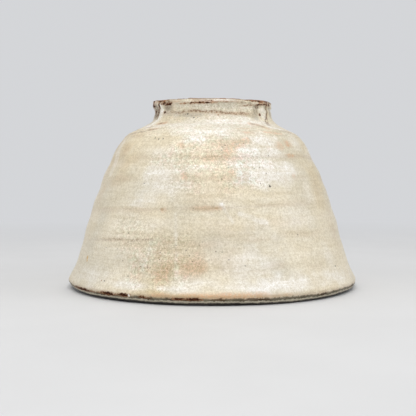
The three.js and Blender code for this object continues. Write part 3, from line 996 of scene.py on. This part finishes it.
def glaze_material(name, under=celadon_with_painted_shade, deep=lip_clay_and_painted_shadow, edges=(umber, olive), crisp=1.0, dots=()):
    """Cream glaze: clouds, lines, grain, thin and milky places with painted highlights among them,
    iron and its breaks, and painted shade on the rings' flanks and under the lip.
    """
    s = Shader(bpy.data.materials.new(name))
    bands = s.noise(5.5, 3, 0.6, (0.12, 0.12, 1))
    threads = s.noise(1.3, 2, 0.6, (0.08, 0.08, 1))
    streaks = s.noise(1.6, 1, 0.5, (1, 1, 0.07))
    blotch = s.noise(3.6, 3, 0.65)
    grain = s.noise(1.0, 3, 0.75)
    fine = s.noise(0.45, 1, 0.5)
    colour = s.mix(s.step(s.noise(34, 2, 0.5), 0.36, 0.64), cream_cool, cream_warm)
    colour = s.tint(colour, s.mask("warm"), (0.03, -0.03, -0.16))
    # The tan mask holds tan glaze and painted shade on the rings' lower flanks
    tint = s.plus(s.mask("tan"), s.step(bands, 0.56, 0.75, 0, 0.14))
    tint = s.times(tint, s.step(blotch, 0.3, 0.62, 0.5, 1.15), clamp=True)
    colour = s.mix(s.times(tint, 0.75), colour, tan)

    # Patches: the mask, how far a texture breaks it up, and its colour
    places = [
        ("grey", s.step(grain, 0.35, 0.62, 0.15, 0.95), lilac_grey),
        # Milky glaze, and painted highlights where the mask holds them
        ("milky_and_highlight", s.step(blotch, 0.25, 0.6, 0.8, 0.95), milk_and_highlight_white),
        ("rust", s.step(grain, 0.36, 0.62, 0.2, 0.95), orange),
    ]
    for mask, texture, target in places:
        colour = s.mix(s.times(s.mask(mask), texture), colour, target)
    brown = s.times(s.mask("brown"), s.step(grain, 0.40, 0.58, 0.3, 1.0))
    colour = s.mix(brown, colour, burnt)

    busy = s.mask("busy")
    lines = s.plus(s.sway(bands, 0.04), s.sway(threads, 0.06), s.sway(streaks, 0.025),
                   s.sway(blotch, 0.03))
    lines = s.times(lines, s.plus(s.times(busy, 0.5), 0.35))
    colour = s.tint(colour, lines, (1, 1.25, 1.9))
    grains = s.times(s.plus(s.sway(grain, 0.17), s.sway(fine, 0.13)), busy)
    colour = s.tint(colour, grains, (1, 1.15, 1.45))
    pinks = s.times(s.sway(s.noise(2.2, 3, 0.7), 0.04), s.step(busy, 0.8, 1.25))
    colour = s.tint(colour, pinks, (1, -0.6, -0.3))

    # Thin brown lines, broken into dashes and dots
    ink = s.mask("ink")
    reach = s.math("ABSOLUTE", s.plus(s.mask("line"), s.sway(s.noise(2.0, 2), 0.16)), 0)
    dashes = s.step(s.noise(0.65, 1, 0.5), 0.46, 0.54, 0.1)
    thin = s.times(s.step(reach, 0.65, 0.3), dashes, ink)
    colour = s.mix(s.times(thin, 0.9), colour, line_brown)
    colour = s.mix(s.times(s.step(reach, 1.3, 0.2), ink, 0.45), colour, line_tan)

    # Where the coat breaks over an edge it turns brown, and under the edge it is thin. Under the
    # lip's edge it is a greenish glaze darkened as painted shade, and then near-black clay that is
    # partly painted shadow where the lip stands on the floor; the foot and the well show bare clay
    # there
    bare = s.times(s.mask("bare"), crisp)
    ragged_edge = s.plus(bare, s.sway(grain, 0.3 * crisp))
    patchy = s.noise(5, 2)
    warmth = s.times(s.step(bare, -3.1, -0.2), s.step(patchy, 0.34, 0.6, 0.2, 0.6))
    colour = s.mix(warmth, colour, ochre)
    below = s.step(ragged_edge, 0.3, 0.7)
    colour = s.mix(below, colour, s.scale(under, s.sway(grain, 0.2, 1)))
    colour = s.mix(s.step(ragged_edge, 1.2, 1.7), colour, s.scale(deep, s.sway(grain, 0.4, 1)))
    line = s.times(s.step(ragged_edge, -1.0, -0.3), s.step(ragged_edge, 0.75, 0.45),
                   s.step(patchy, 0.36, 0.6, 0.85, 1.0))
    colour = s.mix(line, colour, s.mix(s.step(s.noise(9, 2), 0.42, 0.58), *edges))
    spotty = s.times(s.mask("iron"), s.step(s.noise(0.8, 2, 0.6), 0.38, 0.5))
    rusted = s.mix(s.step(grain, 0.42, 0.62), iron, tan)
    colour = s.mix(s.step(spotty, 0.25, 0.7), colour, rusted)
    depth = s.plus(s.mask("blot"), s.sway(grain, 0.3))
    colour = s.mix(s.step(depth, -0.45, -0.05, 0, 0.75), colour, rusty_brown)
    blot = s.step(depth, -0.1, 0.12)
    colour = s.mix(blot, colour, s.mix(s.step(fine, 0.4, 0.62), dark, red_dark))

    # Specks scattered over the glaze and in rows, and single dots, of which the dark are holes
    speck, chances = s.specks(1.25, 0.30, 0.10)
    limit = s.plus(s.times(s.mask("specks"), 0.5), 0.005)
    speck = s.times(speck, s.math("LESS_THAN", chances[0], limit))
    colour = s.mix(s.times(speck, 0.8), colour, iron)
    relief = s.plus(grain, s.times(speck, -0.5))
    dull = s.math("MAXIMUM", blot, line, brown, thin)
    for where, height, wide, high, dot_colour in dots:
        hole = s.dot(on_outside(where, height), wide, high)
        colour = s.mix(s.times(hole, 0.85), colour, dot_colour)
        if dot_colour == dark:
            relief = s.math("SUBTRACT", relief, hole)
            dull = s.math("MAXIMUM", dull, hole)
    relief = s.plus(relief, s.times(blotch, 0.8), s.times(s.plus(fine, threads), 0.4))
    gloss = s.plus(s.sway(blotch, 0.05, 0.41), s.times(tint, 0.1), s.times(s.plus(line, below), 0.08),
                   s.times(blot, 0.3))
    shine = s.plus(s.times(dull, -0.42), 0.5)
    return s.end(s.surface(colour, gloss, relief, 0.09, shine, s.times(shine, 0.2)))


def clay_material(name):
    """Rough stoneware with sand, dark specks and paler worn places."""
    s = Shader(bpy.data.materials.new(name))
    wide = s.noise(6, 3, 0.6)
    grain = s.noise(0.7, 3, 0.7)
    colour = s.mix(s.step(wide, 0.35, 0.68), clay_red, clay_pale)
    colour = s.scale(colour, s.step(grain, 0.28, 0.72, 0.7, 1.25))
    speck, chances = s.specks(0.8, 0.34, 0.18)
    grit = s.times(speck, s.math("GREATER_THAN", chances[0], 0.86))
    black = s.times(speck, s.math("GREATER_THAN", chances[1], 0.88))
    colour = s.mix(s.times(grit, 0.6), colour, sand)
    colour = s.mix(s.times(black, 0.8), colour, dark)
    relief = s.plus(grain, s.times(grit, 0.4))
    return s.end(s.surface(colour, s.sway(wide, 0.08, 0.8), relief, 0.16))


clay = clay_material("stoneware_look")
thin_look = (clay_pale, clay_red, (burnt, rusty_brown), 2.5)
lip_dots = [(-30.2, 2.8, 0.5, 0.55, milk_and_highlight_white)]
pieces = [
    (clay_body, "bowl_body", "stoneware", clay),
    (outer_coat, "outer_glaze", "cream_glaze", glaze_material("outer_glaze_look", dots=wall_dots)),
    (lip_coat, "lip_glaze", "thin_glaze", glaze_material("lip_glaze_look", dots=lip_dots)),
    (foot_coat, "foot_glaze", "thin_glaze", glaze_material("foot_glaze_look", *thin_look)),
    (inner_coat, "inner_glaze", "cream_glaze", glaze_material("inner_glaze_look")),
    (well_coat, "foot_well_glaze", "cream_glaze", glaze_material("well_glaze_look", *thin_look)),
    (foot_clay, "foot_ring", "stoneware", clay),
]
for piece, node, slot, material in pieces:
    piece.data.materials.append(material)
    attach(piece, "root")
    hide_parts(node)

# Floor: plain and pale, and so wide that its edge melts into the background, between two
# distances in millimetres
floor_radius = 4.0
floor_colour = (0.70, 0.71, 0.73)
background = (0.66, 0.67, 0.69)
melt_start = 150.0
melt_end = 600.0
floor_turn = np.linspace(0, 2 * np.pi, 96, endpoint=False)
floor_points = floor_radius * np.stack([np.cos(floor_turn), np.sin(floor_turn), 0 * floor_turn], 1)
floor_mesh = bpy.data.meshes.new("floor")
floor_mesh.from_pydata(floor_points.tolist(), [], [list(range(len(floor_points)))])
floor = bpy.data.objects.new("floor", floor_mesh)
bpy.context.scene.collection.objects.link(floor)
paint = Shader(bpy.data.materials.new("floor_look"))
pale = paint.scale(floor_colour, paint.sway(paint.noise(60, 3), 0.015, 1))
ground = paint.surface(pale, 0.7, paint.noise(2, 2), 0.02)
away = paint.vector("LENGTH", paint.place, output="Value")
melt = paint.times(paint.step(away, melt_start, melt_end), paint.seen())
glow = paint.add("Emission", {"Color": background}).outputs[0]
blend = paint.add("MixShader", {0: melt, 1: ground, 2: glow}).outputs[0]
floor_mesh.materials.append(paint.end(blend))

# World: soft even light, and the background that the camera and reflections see
ambient_colour = (1.0, 0.985, 0.96)
ambient_strength = 0.48
sky = Shader(bpy.data.worlds.new("studio"))
ambient = sky.add("Background", {"Color": ambient_colour, "Strength": ambient_strength})
backdrop = sky.add("Background", {"Color": background})
blend = sky.add("MixShader", {0: sky.seen(), 1: ambient.outputs[0], 2: backdrop.outputs[0]})
bpy.context.scene.world = sky.end(blend.outputs[0], "OutputWorld")


def aimed(item, place, aim):
    """Puts a lamp or a camera at a place, turned to its aim, into the scene."""
    thing = bpy.data.objects.new(item.name, item)
    thing.location = place
    thing.rotation_euler = (aim - place).to_track_quat("-Z", "Y").to_euler()
    bpy.context.scene.collection.objects.link(thing)
    return thing


def softbox(name, side, elevation, away, size, power, colour=(1, 1, 1)):
    """Puts a square area light on a sphere round the bowl, at an azimuth and an elevation."""
    flat = math.cos(math.radians(elevation))
    angle = math.radians(side)
    offset = Vector((math.sin(angle) * flat, -math.cos(angle) * flat,
                     math.sin(math.radians(elevation))))
    lamp = bpy.data.lights.new(name, "AREA")
    lamp.size = size
    lamp.energy = power
    lamp.color = colour
    aimed(lamp, lamp_aim + offset * away, lamp_aim)


lamp_aim = Vector((0, 0, 0.04))
softbox("key", -2, 52, 1.1, 0.7, 5.8, (1.0, 0.985, 0.95))
softbox("left_fill", -78, 25, 1.2, 0.8, 1.9)
softbox("right_fill", 72, 28, 1.2, 0.8, 2.6)
softbox("top", 170, 75, 1.2, 0.9, 2.0)

# Camera at the photograph's viewing angle
camera_place = Vector((0, -0.352, 0.0468))
camera_aim = Vector((-0.00187, 0, 0.0346))
camera_data = bpy.data.cameras.new("camera")
camera_data.lens = 67.45
camera_data.sensor_width = 36
camera_data.clip_start = 0.01
bpy.context.scene.camera = aimed(camera_data, camera_place, camera_aim)
bpy.context.scene.view_settings.view_transform = "Standard"
